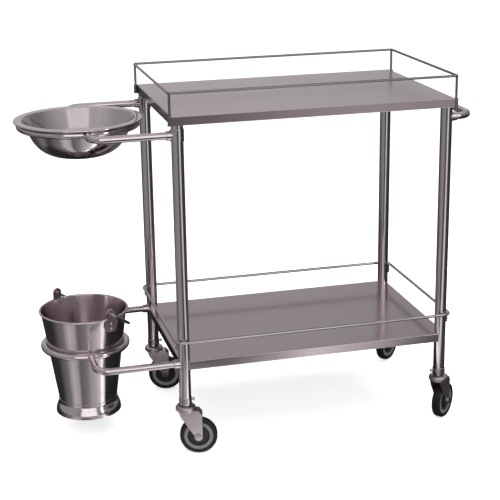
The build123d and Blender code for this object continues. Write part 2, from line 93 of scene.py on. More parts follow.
def rampOf(tree, source, stops, place=(0, 0)):
    ramp = addNode(tree, "ShaderNodeValToRGB", place)
    ramp.color_ramp.interpolation = "EASE"
    elements = ramp.color_ramp.elements
    while len(elements) < len(stops):
        elements.new(0.5)
    for element, (where, shade) in zip(elements, stops):
        element.position = where
        element.color = (*shade, 1) if isinstance(shade, tuple) else (shade, shade, shade, 1)
    tree.links.new(source, ramp.inputs["Fac"])
    return ramp.outputs["Color"]


room = {
    "paper": (0.93, 0.93, 0.93),    # what stands behind the trolley
    "paperLift": 0.62,
    "floorHalf": 14.0,
    "ceiling": (0.62, 0.60, 0.61),
    "wallStops": [      # room brightness by turn round the trolley: 0 and 1 straight behind, 0.5 in front
        (0.00, 0.52), (0.10, 0.34), (0.22, 0.36), (0.33, 0.42), (0.375, 0.30), (0.395, 0.26),
        (0.408, 1.45), (0.552, 1.45), (0.566, 0.26), (0.64, 0.24), (0.78, 0.22), (0.90, 0.34), (0.96, 0.54),
    ],
    "floorStops": [     # painted reflection: the floor's glow as only the polished parts see it, by the same turn
        (0.00, 0.10), (0.12, 0.06), (0.22, 0.26), (0.36, 0.34), (0.43, 0.30), (0.47, 0.08), (0.51, 0.07),
        (0.535, 0.50), (0.56, 1.15), (0.585, 0.75), (0.62, 0.07), (0.76, 0.03), (0.92, 0.12),
    ],
    "bucketStops": [    # the same, near the bucket and by turn round it
        (0.00, 0.02), (0.20, 0.03), (0.30, 0.20), (0.36, 0.62), (0.40, 0.52), (0.425, 0.16), (0.47, 0.24),
        (0.53, 0.50), (0.59, 0.72), (0.612, 1.8), (0.634, 1.45), (0.648, 0.02), (0.96, 0.01),
    ],
    "bucketReach": (0.75, 1.05),    # metres from the bucket where one floor fades into the other
}


def turnAround(tree, vector, centre=(0, 0)):
    moved = addNode(tree, "ShaderNodeVectorMath", (-1060, 0), operation="SUBTRACT")
    moved.inputs[1].default_value = (*centre, 0)
    tree.links.new(vector, moved.inputs[0])
    split = addNode(tree, "ShaderNodeSeparateXYZ", (-900, 0))
    tree.links.new(moved.outputs[0], split.inputs["Vector"])
    minusY = addNode(tree, "ShaderNodeMath", (-740, -80), operation="MULTIPLY")
    minusY.inputs[1].default_value = -1
    tree.links.new(split.outputs["Y"], minusY.inputs[0])
    angle = addNode(tree, "ShaderNodeMath", (-600, 0), operation="ARCTAN2")
    tree.links.new(split.outputs["X"], angle.inputs[0])
    tree.links.new(minusY.outputs[0], angle.inputs[1])
    share = addNode(tree, "ShaderNodeMath", (-460, 0), operation="MULTIPLY_ADD")
    share.inputs[1].default_value = 1 / (2 * math.pi)
    share.inputs[2].default_value = 0.5
    tree.links.new(angle.outputs[0], share.inputs[0])
    return share.outputs[0], split.outputs["Z"], moved.outputs[0]


def makeWorld():
    world = bpy.data.worlds.new("room")
    bpy.context.scene.world = world
    world.use_nodes = True
    tree = world.node_tree
    tree.nodes.clear()
    coord = addNode(tree, "ShaderNodeTexCoord", (-1260, 0))
    turn, height, _ = turnAround(tree, coord.outputs["Generated"])
    walls = rampOf(tree, turn, room["wallStops"], (-280, 60))
    ceiling = rampOf(tree, height, [(0.42, 0.0), (0.8, 1.0)], (-280, -220))
    sky = addNode(tree, "ShaderNodeMix", (-20, 0), data_type="RGBA")
    tree.links.new(ceiling, sky.inputs[0])
    tree.links.new(walls, sky.inputs[6])
    sky.inputs[7].default_value = (*room["ceiling"], 1)
    seen = addNode(tree, "ShaderNodeBackground", (180, 120), Color=(*room["paper"], 1), Strength=1.4)
    glow = addNode(tree, "ShaderNodeBackground", (180, -60), Strength=1.0)
    tree.links.new(sky.outputs[2], glow.inputs["Color"])
    path = addNode(tree, "ShaderNodeLightPath", (180, 420))
    mix = addNode(tree, "ShaderNodeMixShader", (380, 60))
    tree.links.new(path.outputs["Is Camera Ray"], mix.inputs[0])
    tree.links.new(glow.outputs[0], mix.inputs[1])
    tree.links.new(seen.outputs[0], mix.inputs[2])
    out = addNode(tree, "ShaderNodeOutputWorld", (560, 60))
    tree.links.new(mix.outputs[0], out.inputs["Surface"])


def makeFloor():
    half = room["floorHalf"]
    mesh = bpy.data.meshes.new("floor")
    corners = [(-half, -half, 0), (half, -half, 0), (half, half, 0), (-half, half, 0)]
    mesh.from_pydata(corners, [], [(0, 1, 2, 3)])
    floor = bpy.data.objects.new("floor", mesh)
    bpy.context.scene.collection.objects.link(floor)
    paper = bpy.data.materials.new("floorPaperAndPaintedReflections")
    paper.use_nodes = True
    tree = paper.node_tree
    tree.nodes.clear()
    geometry = addNode(tree, "ShaderNodeNewGeometry", (-1260, 0))
    bucketMiddle = middleOf("bucket_shell")
    turn, _, _ = turnAround(tree, geometry.outputs["Position"])
    bucketTurn, _, fromBucket = turnAround(tree, geometry.outputs["Position"], bucketMiddle[:2])
    wide = rampOf(tree, turn, room["floorStops"], (-280, 60))
    near = rampOf(tree, bucketTurn, room["bucketStops"], (-280, -220))
    away = addNode(tree, "ShaderNodeVectorMath", (-280, -480), operation="LENGTH")
    tree.links.new(fromBucket, away.inputs[0])
    fade = addNode(tree, "ShaderNodeMapRange", (-120, -480), interpolation_type="SMOOTHSTEP")
    fade.inputs["From Min"].default_value, fade.inputs["From Max"].default_value = room["bucketReach"]
    tree.links.new(away.outputs["Value"], fade.inputs["Value"])
    paintedReflectionBands = addNode(tree, "ShaderNodeMix", (40, -160), data_type="RGBA")
    tree.links.new(fade.outputs[0], paintedReflectionBands.inputs[0])
    tree.links.new(near, paintedReflectionBands.inputs[6])
    tree.links.new(wide, paintedReflectionBands.inputs[7])
    matte = addNode(tree, "ShaderNodeBsdfDiffuse", (40, 200), Color=(*room["paper"], 1))
    lift = addNode(tree, "ShaderNodeEmission", (40, 60), Color=(*room["paper"], 1))
    lift.inputs["Strength"].default_value = room["paperLift"]
    lifted = addNode(tree, "ShaderNodeAddShader", (220, 160))
    tree.links.new(matte.outputs[0], lifted.inputs[0])
    tree.links.new(lift.outputs[0], lifted.inputs[1])
    # painted reflection: glossy rays see the floor glow in these bright and dark bands; camera and diffuse rays
    # see the lit paper
    mirrored = addNode(tree, "ShaderNodeEmission", (220, -60), Strength=1.0)
    tree.links.new(paintedReflectionBands.outputs[2], mirrored.inputs["Color"])
    path = addNode(tree, "ShaderNodeLightPath", (220, 520))
    mix = addNode(tree, "ShaderNodeMixShader", (420, 60))
    tree.links.new(path.outputs["Is Glossy Ray"], mix.inputs[0])
    tree.links.new(lifted.outputs[0], mix.inputs[1])
    tree.links.new(mirrored.outputs[0], mix.inputs[2])
    out = addNode(tree, "ShaderNodeOutputMaterial", (620, 60))
    tree.links.new(mix.outputs[0], out.inputs["Surface"])
    mesh.materials.append(paper)


lamps = [
    {"name": "overhead", "place": (0.1, -0.6, 3.2), "aim": (0, 0, 0.4),
     "size": (4.2, 3.6), "watts": 120, "mirrored": False},
    {"name": "frontWindow", "place": (-0.6, -4.4, 2.6), "aim": (0, 0, 0.5),
     "size": (2.6, 1.8), "watts": 60, "mirrored": False},
    {"name": "sideLamp", "place": (1.9, -2.6, 1.5), "aim": (0, 0, 0.4),
     "size": (0.35, 1.6), "watts": 9, "mirrored": True},
]


def makeLamps():
    for lamp in lamps:
        data = bpy.data.lights.new(lamp["name"], "AREA")
        data.shape = "RECTANGLE"
        data.size, data.size_y = lamp["size"]
        data.energy = lamp["watts"]
        light = bpy.data.objects.new(lamp["name"], data)
        bpy.context.scene.collection.objects.link(light)
        light.location = lamp["place"]
        light.visible_glossy = lamp["mirrored"]
        aim = Vector(lamp["aim"]) - Vector(lamp["place"])
        light.rotation_mode = "QUATERNION"
        light.rotation_quaternion = aim.to_track_quat("-Z", "Y")


def middleOf(node):
    low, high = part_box(node)
    return (low + high) / 2


bpy.context.scene.view_settings.view_transform = "Standard"
makeCamera()
makeWorld()
makeFloor()
makeLamps()
print("camera, room and lamps placed")


# effects that several finishes share
def newGroup(name, sockets):
    tree = bpy.data.node_groups.new(name, "ShaderNodeTree")
    for label, side, kind, value in sockets:
        socket = tree.interface.new_socket(name=label, in_out=side, socket_type=kind)
        if value is not None:
            socket.default_value = value
    return tree, addNode(tree, "NodeGroupInput", (-900, 0)), addNode(tree, "NodeGroupOutput", (500, 0))


def makeGrain():
    tree, given, result = newGroup("rolledGrain", [
        ("Stretch", "INPUT", "NodeSocketVector", (1.0, 1.0, 1.0)),
        ("Scale", "INPUT", "NodeSocketFloat", 60.0),
        ("Lines", "OUTPUT", "NodeSocketFloat", None),
    ])
    coord = addNode(tree, "ShaderNodeTexCoord", (-900, -200))
    stretch = addNode(tree, "ShaderNodeVectorMath", (-640, 0), operation="MULTIPLY")
    tree.links.new(coord.outputs["Object"], stretch.inputs[0])
    tree.links.new(given.outputs["Stretch"], stretch.inputs[1])
    fine = addNode(tree, "ShaderNodeTexNoise", (-420, 80), Detail=4.0, Roughness=0.62)
    tree.links.new(stretch.outputs[0], fine.inputs["Vector"])
    tree.links.new(given.outputs["Scale"], fine.inputs["Scale"])
    levels = addNode(tree, "ShaderNodeMapRange", (-180, 80))
    levels.inputs["From Min"].default_value = 0.32
    levels.inputs["From Max"].default_value = 0.68
    tree.links.new(fine.outputs["Fac"], levels.inputs["Value"])
    tree.links.new(levels.outputs[0], result.inputs["Lines"])
    return tree


def makeHandMarks():
    tree, given, result = newGroup("handMarks", [
        ("Scale", "INPUT", "NodeSocketFloat", 5.0),
        ("Cover", "INPUT", "NodeSocketFloat", 0.5),
        ("Marks", "OUTPUT", "NodeSocketFloat", None),
    ])
    coord = addNode(tree, "ShaderNodeTexCoord", (-900, -200))
    cloud = addNode(tree, "ShaderNodeTexNoise", (-640, 80), Detail=6.0, Roughness=0.7, Distortion=0.6)
    tree.links.new(coord.outputs["Object"], cloud.inputs["Vector"])
    tree.links.new(given.outputs["Scale"], cloud.inputs["Scale"])
    start = addNode(tree, "ShaderNodeMath", (-640, -160), operation="SUBTRACT")
    start.inputs[0].default_value = 0.95
    tree.links.new(given.outputs["Cover"], start.inputs[1])
    end = addNode(tree, "ShaderNodeMath", (-460, -160), operation="ADD")
    end.inputs[1].default_value = 0.3
    tree.links.new(start.outputs[0], end.inputs[0])
    levels = addNode(tree, "ShaderNodeMapRange", (-260, 60))
    tree.links.new(cloud.outputs["Fac"], levels.inputs["Value"])
    tree.links.new(start.outputs[0], levels.inputs["From Min"])
    tree.links.new(end.outputs[0], levels.inputs["From Max"])
    tree.links.new(levels.outputs[0], result.inputs["Marks"])
    return tree


# edge mask from a bevelled normal: a paler colour there is partly wear and partly a painted highlight along sharp
# edges
def makeEdgeWearAndHighlight():
    tree, given, result = newGroup("edgeWearAndHighlight", [
        ("Width", "INPUT", "NodeSocketFloat", 0.001),
        ("Edges", "OUTPUT", "NodeSocketFloat", None),
    ])
    rounded = addNode(tree, "ShaderNodeBevel", (-640, 60), samples=4)
    tree.links.new(given.outputs["Width"], rounded.inputs["Radius"])
    flat = addNode(tree, "ShaderNodeNewGeometry", (-640, -140))
    same = addNode(tree, "ShaderNodeVectorMath", (-420, 0), operation="DOT_PRODUCT")
    tree.links.new(rounded.outputs[0], same.inputs[0])
    tree.links.new(flat.outputs["Normal"], same.inputs[1])
    levels = addNode(tree, "ShaderNodeMapRange", (-200, 0))
    levels.inputs["From Min"].default_value = 0.995
    levels.inputs["From Max"].default_value = 0.86
    tree.links.new(same.outputs["Value"], levels.inputs["Value"])
    tree.links.new(levels.outputs[0], result.inputs["Edges"])
    return tree


def makeDust():
    tree, given, result = newGroup("settledDust", [
        ("Scale", "INPUT", "NodeSocketFloat", 30.0),
        ("Dust", "OUTPUT", "NodeSocketFloat", None),
    ])
    facing = addNode(tree, "ShaderNodeNewGeometry", (-900, -200))
    split = addNode(tree, "ShaderNodeSeparateXYZ", (-700, -200))
    tree.links.new(facing.outputs["Normal"], split.inputs["Vector"])
    upward = addNode(tree, "ShaderNodeMapRange", (-500, -200))
    upward.inputs["From Min"].default_value = 0.35
    tree.links.new(split.outputs["Z"], upward.inputs["Value"])
    coord = addNode(tree, "ShaderNodeTexCoord", (-900, 100))
    specks = addNode(tree, "ShaderNodeTexNoise", (-700, 100), Detail=8.0, Roughness=0.75)
    tree.links.new(coord.outputs["Object"], specks.inputs["Vector"])
    tree.links.new(given.outputs["Scale"], specks.inputs["Scale"])
    lying = addNode(tree, "ShaderNodeMath", (-260, 0), operation="MULTIPLY")
    tree.links.new(upward.outputs[0], lying.inputs[0])
    tree.links.new(specks.outputs["Fac"], lying.inputs[1])
    tree.links.new(lying.outputs[0], result.inputs["Dust"])
    return tree


# painted shade: a mask of steep faces (the shelf flanges) by which way they face; a separate colour is mixed in
# there to stand in for how light falls on them
def makeSteepSideShadePainted():
    tree, given, result = newGroup("steepSideShadePainted", [("Sides", "OUTPUT", "NodeSocketFloat", None)])
    facing = addNode(tree, "ShaderNodeNewGeometry", (-700, 0))
    split = addNode(tree, "ShaderNodeSeparateXYZ", (-500, 0))
    tree.links.new(facing.outputs["Normal"], split.inputs["Vector"])
    steep = addNode(tree, "ShaderNodeMapRange", (-260, 0))
    steep.inputs["From Min"].default_value = 0.55
    steep.inputs["From Max"].default_value = 0.15
    tree.links.new(split.outputs["Z"], steep.inputs["Value"])
    tree.links.new(steep.outputs[0], result.inputs["Sides"])
    return tree


effects = {
    "sides": makeSteepSideShadePainted(),
    "grain": makeGrain(),
    "marks": makeHandMarks(),
    "wornAndLitEdges": makeEdgeWearAndHighlight(),
    "dust": makeDust(),
}


def placeEffect(tree, effect, place, **values):
    node = addNode(tree, "ShaderNodeGroup", place)
    node.node_tree = effects[effect]
    for key, value in values.items():
        node.inputs[key].default_value = value
    return node.outputs[0]


# finishes
def mixColour(tree, amount, source, first, second, place):
    scaled = addNode(tree, "ShaderNodeMath", (place[0] - 180, place[1]), operation="MULTIPLY")
    scaled.inputs[1].default_value = amount
    tree.links.new(source, scaled.inputs[0])
    mix = addNode(tree, "ShaderNodeMix", place, data_type="RGBA")
    tree.links.new(scaled.outputs[0], mix.inputs[0])
    if isinstance(first, tuple):
        mix.inputs[6].default_value = (*first, 1)
    else:
        tree.links.new(first, mix.inputs[6])
    mix.inputs[7].default_value = (*second, 1)
    return mix.outputs[2]


def addShares(tree, shares, place):
    total = None
    for k, (source, amount, start) in enumerate(shares):
        step = addNode(tree, "ShaderNodeMath", (place[0] + 160 * k, place[1]), operation="MULTIPLY_ADD")
        step.inputs[1].default_value = amount
        tree.links.new(source, step.inputs[0])
        if total is None:
            step.inputs[2].default_value = start
        else:
            tree.links.new(total, step.inputs[2])
        total = step.outputs[0]
    return total


def makeFinish(name, look):
    material = bpy.data.materials.new(name)
    material.use_nodes = True
    tree = material.node_tree
    shader = tree.nodes["Principled BSDF"]
    shader.inputs["Metallic"].default_value = look.get("metal", 1.0)
    shader.inputs["Specular IOR Level"].default_value = look.get("specular", 0.5)
    lines = placeEffect(tree, "grain", (-1300, 300), Stretch=look["stretch"], Scale=look["grain"])
    marks = placeEffect(tree, "marks", (-1300, 60), Scale=look["marksScale"], Cover=look["cover"])
    wornAndLitEdges = placeEffect(tree, "wornAndLitEdges", (-1300, -160), Width=look["edgeWidth"])
    dust = placeEffect(tree, "dust", (-1300, -380), Scale=look["dustScale"])
    streaked = mixColour(tree, look["streak"], lines, look["colour"], look["streakColour"], (-900, 300))
    marked = mixColour(tree, look["marksAmount"], marks, streaked, look["marksColour"], (-680, 240))
    # painted shade and light: steep faces take the look's side colour, darker than the top on the upper shelf and
    # lighter on the lower
    if "steepSidePaintedShade" in look:
        sides = placeEffect(tree, "sides", (-1300, 500))
        marked = mixColour(tree, 1.0, sides, marked, look["steepSidePaintedShade"], (-560, 420))
    # edges get a paler colour: partly wear, partly painted highlight
    worn = mixColour(tree, look["edgeWearAndHighlightAmount"], wornAndLitEdges, marked, look["edgeWearAndHighlightColour"], (-460, 180))
    dusty = mixColour(tree, look["dustAmount"], dust, worn, (0.42, 0.40, 0.38), (-240, 120))
    tree.links.new(dusty, shader.inputs["Base Color"])
    low, high = look["rough"]
    rough = addShares(tree, [
        (lines, high - low, low), (marks, look["marksRough"], 0), (dust, look["dustAmount"] * 0.6, 0),
    ], (-700, -200))
    tree.links.new(rough, shader.inputs["Roughness"])
    coord = addNode(tree, "ShaderNodeTexCoord", (-1300, -700))
    swell = addNode(tree, "ShaderNodeTexNoise", (-1080, -700), Scale=look["waveScale"], Detail=1.0)
    tree.links.new(coord.outputs["Object"], swell.inputs["Vector"])
    waves = addNode(tree, "ShaderNodeBump", (-800, -700), Strength=look["wave"], Distance=0.002)
    tree.links.new(swell.outputs["Fac"], waves.inputs["Height"])
    fine = addNode(tree, "ShaderNodeBump", (-560, -600), Strength=look["relief"], Distance=0.0002)
    tree.links.new(lines, fine.inputs["Height"])
    tree.links.new(waves.outputs[0], fine.inputs["Normal"])
    tree.links.new(fine.outputs[0], shader.inputs["Normal"])
    return material


steel = {
    "colour": (0.66, 0.59, 0.61), "streakColour": (0.56, 0.50, 0.52), "streak": 0.5,
    "rough": (0.09, 0.17), "stretch": (1.0, 1.0, 1.0), "grain": 260.0, "relief": 0.05,
    "marksScale": 9.0, "cover": 0.42, "marksAmount": 0.30, "marksColour": (0.44, 0.38, 0.40),
    "marksRough": 0.10, "edgeWidth": 0.0008, "edgeWearAndHighlightAmount": 0.35, "edgeWearAndHighlightColour": (0.82, 0.78, 0.79),
    "dustScale": 90.0, "dustAmount": 0.05, "waveScale": 7.0, "wave": 0.03,
}
looks = {
    "satin_sheet": {
        **steel, "colour": (0.62, 0.52, 0.53), "streakColour": (0.57, 0.47, 0.48), "streak": 0.4,
        # the upper shelf's flanges get a darker colour as painted shade
        "steepSidePaintedShade": (0.27, 0.22, 0.24), "rough": (0.16, 0.24), "stretch": (0.03, 1.0, 1.0),
        "grain": 420.0, "relief": 0.04, "marksScale": 3.2, "cover": 0.44, "marksAmount": 0.22,
        # the wide, strong edge mix paints the bright highlight line along the flanges' top edge
        "marksRough": 0.06, "edgeWidth": 0.0022, "edgeWearAndHighlightAmount": 0.8, "wave": 0.02,
        "waveScale": 4.0,
    },
    "polished_tube": {
        **steel, "stretch": (1.0, 1.0, 0.03), "grain": 600.0,
    },
    # painted shade: the upper rails' steel is given a far darker colour than the other steel, standing in for the
    # dark they reflect
    "rail_rod": {
        **steel, "colour": (0.27, 0.25, 0.26), "streakColour": (0.20, 0.18, 0.19),
        "rough": (0.12, 0.22), "marksColour": (0.14, 0.12, 0.13), "edgeWearAndHighlightColour": (0.5, 0.47, 0.48),
        "grain": 700.0,
    },
    "bright_fittings": {
        **steel, "colour": (0.40, 0.37, 0.38), "rough": (0.18, 0.34), "grain": 900.0,
        "marksScale": 40.0,
    },
    "bowl_steel": {
        **steel, "colour": (0.72, 0.65, 0.66), "rough": (0.05, 0.12), "stretch": (1.0, 1.0, 0.2),
        "grain": 150.0, "marksScale": 14.0, "wave": 0.06, "waveScale": 9.0,
    },
    "bucket_steel": {
        **steel, "colour": (0.68, 0.59, 0.61), "rough": (0.10, 0.19), "stretch": (1.0, 1.0, 0.06),
        "grain": 190.0, "marksScale": 13.0, "cover": 0.48, "wave": 0.07, "waveScale": 8.0,
    },
    "bail_wire": {
        **steel, "colour": (0.42, 0.38, 0.39), "rough": (0.14, 0.26), "grain": 700.0,
    },
    "caster_plate": {
        **steel, "colour": (0.56, 0.48, 0.52), "streakColour": (0.46, 0.38, 0.44),
        "rough": (0.26, 0.42), "grain": 320.0, "relief": 0.3, "marksScale": 45.0, "cover": 0.5,
        "marksAmount": 0.5, "marksColour": (0.34, 0.29, 0.32), "dustAmount": 0.12,
    },
    "wheel_centre": {
        **steel, "metal": 0.0, "colour": (0.11, 0.106, 0.106),
        "streakColour": (0.08, 0.076, 0.076), "rough": (0.42, 0.58), "grain": 300.0,
        "relief": 0.2, "marksScale": 50.0, "marksAmount": 0.5, "marksColour": (0.12, 0.11, 0.11),
        "edgeWearAndHighlightColour": (0.24, 0.23, 0.23), "dustAmount": 0.1,
    },
    "tyre_rubber": {
        **steel, "metal": 0.0, "colour": (0.004, 0.004, 0.005),
        "streakColour": (0.009, 0.008, 0.008), "specular": 0.25, "rough": (0.46, 0.68),
        "grain": 520.0, "relief": 0.5, "marksScale": 60.0, "marksAmount": 0.4,
        "marksColour": (0.022, 0.020, 0.019), "edgeWearAndHighlightColour": (0.03, 0.028, 0.027),
        "dustAmount": 0.03,
    },
    "sleeve_rubber": {
        **steel, "metal": 0.0, "colour": (0.02, 0.02, 0.02), "streakColour": (0.03, 0.03, 0.03),
        "rough": (0.5, 0.7), "marksColour": (0.05, 0.05, 0.05), "edgeWearAndHighlightColour": (0.06, 0.06, 0.06),
    },
    "bush_bronze": {
        **steel, "colour": (0.50, 0.36, 0.18), "streakColour": (0.40, 0.28, 0.13),
        "rough": (0.3, 0.5), "marksColour": (0.20, 0.14, 0.08), "edgeWearAndHighlightColour": (0.7, 0.55, 0.3),
    },
}
finishes = {slot: makeFinish(slot.title().replace("_", ""), look) for slot, look in looks.items()}
finishes["weld"] = makeFinish("weldBead", {
    **steel, "colour": (0.50, 0.45, 0.46), "streakColour": (0.34, 0.29, 0.30), "rough": (0.22, 0.42),
    "grain": 1400.0, "relief": 0.5, "marksScale": 70.0, "cover": 0.55, "marksColour": (0.26, 0.20, 0.17),
})
# painted shade: near-black for the recessed centre web of each wheel, where shadow falls
finishes["wheelWebPaintedShade"] = makeFinish("wheelWebPaintedShade", {
    **looks["tyre_rubber"], "colour": (0.010, 0.010, 0.010), "rough": (0.38, 0.55), "dustAmount": 0.08,
})

# painted light: a lighter copy of the rail steel for the lower rails, standing in for the light they reflect; the
# steel is the same
finishes["lowerRail"] = makeFinish("lowerRailRodLitCopy", {
    **looks["rail_rod"], "colour": (0.50, 0.46, 0.48), "streakColour": (0.40, 0.36, 0.38),
    "marksColour": (0.30, 0.27, 0.28),
})
# painted shade: a darker copy of the satin sheet for the lower shelf, standing in for the shade under the upper
# shelf; the steel is the same
finishes["lowerSheetPaintedShade"] = makeFinish("lowerShelfSheetPaintedShade", {
    **looks["satin_sheet"], "colour": (0.46, 0.38, 0.39), "streakColour": (0.41, 0.33, 0.345),
    "rough": (0.12, 0.20),
    # the lower shelf's flanges get a lighter colour as painted light
    "steepSidePaintedShade": (0.50, 0.43, 0.44),
})
# lit and shaded copies of the slot finishes, as painted light and shade, for the lower rail and the lower shelf
litAndShadedCopies = {"lower_guard_rail": "lowerRail", "lower_shelf": "lowerSheetPaintedShade"}

for name, node in nodes.items():
    node.data.materials.clear()
    node.data.materials.append(finishes[litAndShadedCopies.get(name, slotOf[name])])
print("finishes on", len(nodes), "nodes")


# ways of making a piece
def makePiece(name, points, faces, body, slot, finish=None):
    mesh = bpy.data.meshes.new(name)
    mesh.from_pydata([tuple(point) for point in points], [], faces)
    work = bmesh.new()
    work.from_mesh(mesh)
    bmesh.ops.remove_doubles(work, verts=work.verts, dist=1e-7)
    bmesh.ops.recalc_face_normals(work, faces=work.faces)
    for face in work.faces:
        face.smooth = True
    work.to_mesh(mesh)
    work.free()
    mesh.materials.append(finishes[finish or slot])
    piece = bpy.data.objects.new(name, mesh)
    bpy.context.scene.collection.objects.link(piece)
    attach(piece, body)
    return piece


def arcPath(centre, radius, start, end, steps):
    turns = [math.radians(start + (end - start) * k / steps) for k in range(steps + 1)]
    return [Vector((centre[0] + radius * math.cos(t), centre[1] + radius * math.sin(t))) for t in turns]


def roundedPath(corners, closed=False, stepAngle=5.0):
    path = []
    count = len(corners)
    for k, (across, up, radius) in enumerate(corners):
        here = Vector((across, up))
        if radius == 0 or (not closed and k in (0, count - 1)):
            path.append(here)
            continue
        before = (Vector(corners[k - 1][:2]) - here).normalized()
        after = (Vector(corners[(k + 1) % count][:2]) - here).normalized()
        half = before.angle(after) / 2
        centre = here + (before + after).normalized() * radius / math.sin(half)
        first = here + before * radius / math.tan(half) - centre
        last = here + after * radius / math.tan(half) - centre
        sweep = math.pi - 2 * half
        steps = max(3, round(math.degrees(sweep) / stepAngle))
        for j in range(steps + 1):
            share = j / steps
            bend = first * math.sin((1 - share) * sweep) + last * math.sin(share * sweep)
            path.append(centre + bend / math.sin(sweep))
    return path


def sheetOutline(path, thickness):
    other = []
    for k, point in enumerate(path):
        along = (path[min(k + 1, len(path) - 1)] - path[max(k - 1, 0)]).normalized()
        other.append(point + Vector((-along.y, along.x)) * thickness)
    return path + other[::-1]


def spun(outline, segments, closed=False, wobble=None):
    points, rows = [], []
    for radius, height in outline:
        rows.append([])
        for k in range(segments):
            turn = 2 * math.pi * k / segments
            away = max(radius, 0) + (wobble(turn, height) if wobble and radius > 1e-4 else 0)
            rows[-1].append(len(points))
            points.append(Vector((away * math.cos(turn), away * math.sin(turn), height)))
    faces = []
    for low, high in zip(rows, rows[1:] + rows[:1] if closed else rows[1:]):
        for k in range(segments):
            after = (k + 1) % segments
            faces.append((low[k], low[after], high[after], high[k]))
    return points, faces


def cord(points, radius, sides=8, closed=False, ripple=0.0, ripplePitch=0.0016):
    made, rows, travelled = [], [], 0.0
    count = len(points)
    for k, point in enumerate(points):
        before = points[k - 1] if closed or k else point
        after = points[(k + 1) % count] if closed or k < count - 1 else point
        along = (after - before).normalized()
        side = along.cross(Vector((0.123, 0.218, 0.968))).normalized()
        other = along.cross(side)
        travelled += (point - points[k - 1]).length if k else 0
        swell = radius * (1 + ripple * math.sin(2 * math.pi * travelled / ripplePitch))
        rows.append([])
        for j in range(sides):
            turn = 2 * math.pi * j / sides
            rows[-1].append(len(made))
            made.append(point + swell * (side * math.cos(turn) + other * math.sin(turn)))
    faces = []
    for low, high in zip(rows, rows[1:] + rows[:1] if closed else rows[1:]):
        faces += [(low[j], low[(j + 1) % sides], high[(j + 1) % sides], high[j]) for j in range(sides)]
    if not closed:
        faces += [tuple(rows[0]), tuple(reversed(rows[-1]))]
    return made, faces


def joined(shapes):
    points, faces = [], []
    for morePoints, moreFaces in shapes:
        faces += [tuple(index + len(points) for index in face) for face in moreFaces]
        points += morePoints
    return points, faces


mm = 0.001


# bowl
bowl = {
    "sheet": 1.2 * mm,
    "bead": 2.6 * mm,
    "flange": 20.4 * mm,        # from the mouth to the outer edge
    "slope": 19.5 / 40,         # how far the wall leans in for each unit down
    "curve": 88 * mm,
    "mouthBend": 3.5 * mm,
    "sides": 192,
}


def makeBowl():
    low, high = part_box("bowl")
    rim = (high.x - low.x) / 2
    depth = high.z - low.z
    mouth = rim - bowl["flange"]
    edge = rim - bowl["bead"]
    foot = mouth - bowl["slope"] * depth
    path = roundedPath([
        (0, -depth, 0),
        (foot, -depth, bowl["curve"]),
        (mouth, -bowl["sheet"], bowl["mouthBend"]),
        (edge, -bowl["sheet"], 0),
    ], stepAngle=3)
    path += arcPath((edge, -bowl["bead"]), bowl["bead"] - bowl["sheet"], 80, -205, 18)
    points, faces = spun(sheetOutline(path, bowl["sheet"]), bowl["sides"])
    place = Vector(((low.x + high.x) / 2, (low.y + high.y) / 2, high.z))
    piece = makePiece("spun_bowl", [point + place for point in points], faces, "bowl", "bowl_steel")
    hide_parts("bowl")


makeBowl()


# bucket
bucket = {
    "sheet": 1.2 * mm,
    "bead": 3.0 * mm,
    "base": 79.6 * mm,
    "bottomBend": 7 * mm,
    "sides": 192,
    "dent": 0.00022,            # how far the wall strays from round
}


def makeBucket():
    low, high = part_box("bucket_shell")
    rim = (high.x - low.x) / 2 - bucket["bead"]
    height = high.z - low.z
    wallTop = rim - bucket["bead"] + bucket["sheet"]

    def wobble(turn, z):
        share = z / height
        long = math.sin(3 * turn + 1.1) * (1 - share * 0.6) + 0.6 * math.sin(5 * turn + 4.2 * share)
        return bucket["dent"] * long * math.sin(math.pi * min(max(share, 0), 1))

    path = roundedPath([
        (0, 0, 0),
        (bucket["base"], 0, bucket["bottomBend"]),
        (wallTop, height - bucket["bead"], 0),
    ])
    path += arcPath((rim, height - bucket["bead"]), bucket["bead"] - bucket["sheet"], 165, -150, 18)
    points, faces = spun(sheetOutline(path, bucket["sheet"]), bucket["sides"], wobble=wobble)
    place = Vector(((low.x + high.x) / 2, (low.y + high.y) / 2, low.z))
    placed = [point + place for point in points]
    piece = makePiece("rolled_bucket_wall", placed, faces, "bucket", "bucket_steel")
    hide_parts("bucket_shell")


makeBucket()
print("bowl and bucket spun")


# wheels
wheel = {
    "shadedWebRadius": 29 * mm,       # inside this the centre is painted near-black as shade in its recess, outside it the pale rim ring
    "sides": 96,
    # half outlines in mm: radius, distance along the axle, corner radius
    "tyre": [(39.8, -9.5, 0), (41.2, -11.0, 0.6), (44.0, -11.0, 0.5), (44.6, -12.0, 0.5), (47.6, -12.0, 3.0),
             (50.7, -7.4, 3.5), (50.7, -0.7, 0.4), (50.8, -0.3, 0)],
    "centre": [(6.2, -13.0, 0), (11.6, -13.0, 1.2), (13.2, -5.2, 2.0), (26.5, -4.0, 2.4), (30.0, -9.8, 1.6),
               (38.6, -9.8, 1.0), (39.8, -8.8, 0)],
}


def bothSides(corners):
    return [(r * mm, h * mm, b * mm) for r, h, b in corners + [(r, -h, b) for r, h, b in reversed(corners)]]


